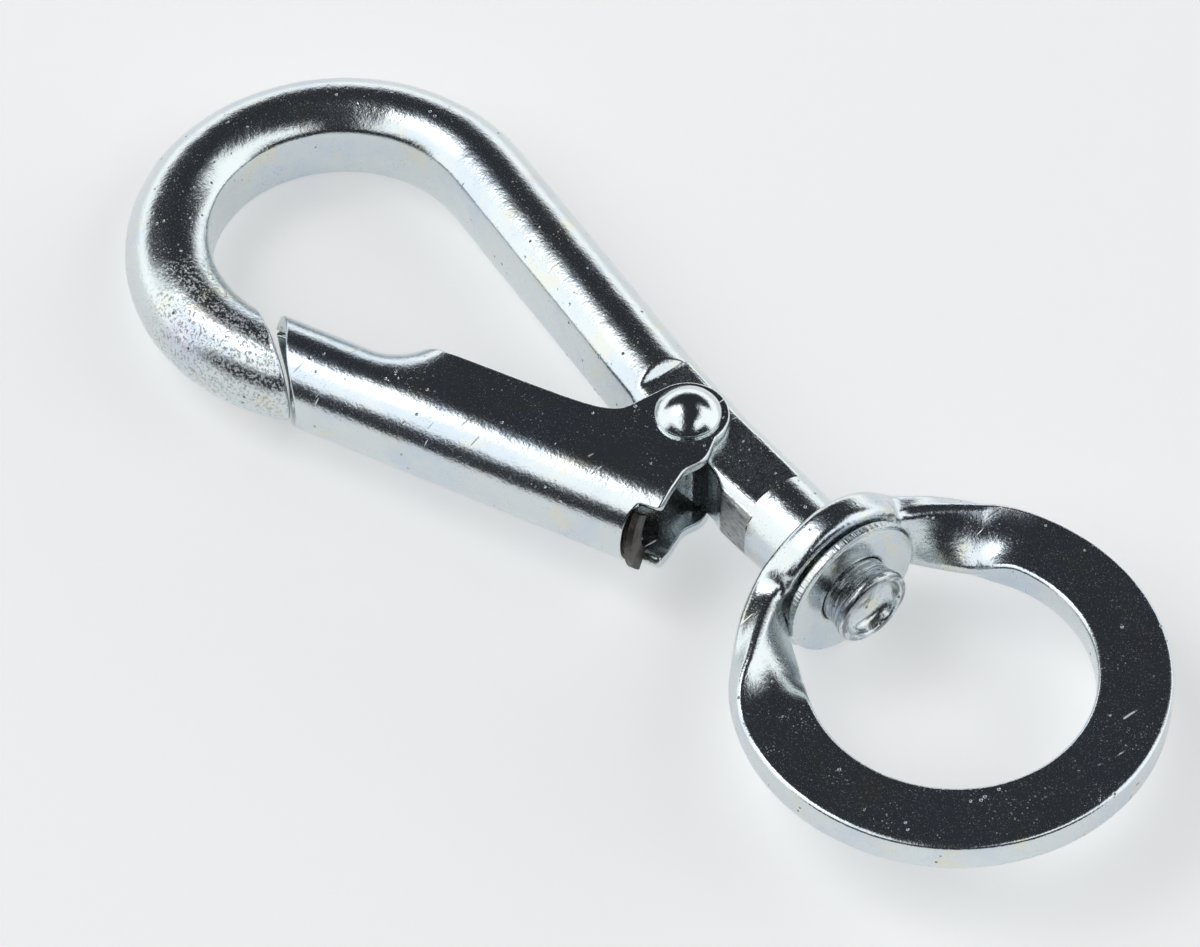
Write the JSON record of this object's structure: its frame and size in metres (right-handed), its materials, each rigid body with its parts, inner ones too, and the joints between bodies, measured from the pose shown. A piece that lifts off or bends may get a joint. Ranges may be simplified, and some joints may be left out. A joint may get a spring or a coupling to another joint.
{
  "type": "swivel snap hook",
  "caption": "Forged steel snap hook with an inward-opening sprung gate and a swivel ring eye on its shank; clips onto a ring, chain or rope",
  "frame": {"origin": "centre of the hook's bow, on the middle plane of the bar, where the load bears", "axes": "+X from the bow along the hook to the swivel ring, parallel to the swivel stud; +Y from the gate towards the back arm; +Z along the pivot rivet"},
  "size_m": [0.1233, 0.0549, 0.0172],
  "materials": {
    "zinc_plated_forging": "bright blue-passivated zinc plate over a drop forging",
    "zinc_plated_sheet": "bright zinc plate over folded sheet, scratched",
    "zinc_plated_rivet": "bright zinc plate, smooth domed heads",
    "dark_spring_steel": "dark hardened spring strip",
    "zinc_plated_washer": "bright zinc plate, stamped",
    "zinc_plated_eye": "bright blue-passivated zinc plate over a flat forging"
  },
  "bodies": {
    "hook": {"hook_body": "zinc_plated_forging"},
    "keeper": {"gate": "zinc_plated_sheet", "pivot_rivet": "zinc_plated_rivet", "gate_spring": "dark_spring_steel"},
    "washer": {"swivel_washer": "zinc_plated_washer"},
    "eye": {"ring_eye": "zinc_plated_eye"}
  },
  "joints": [
    {"name": "gate_pivot", "type": "hinge", "parent": "hook", "child": "keeper", "pos_m": [0.042, 0.0106, 0], "axis": [0, 0, -1], "range_deg": [0, 30], "stiffness_Nm_per_rad": 0.6, "springref_deg": -17.19},
    {"name": "washer_spin", "type": "hinge", "parent": "hook", "child": "washer", "pos_m": [0.0658, 0.0118, 0], "axis": [1, 0, 0], "continuous": true},
    {"name": "ring_swivel", "type": "hinge", "parent": "hook", "child": "eye", "pos_m": [0.0626, 0.0118, 0], "axis": [1, 0, 0], "continuous": true}
  ]
}
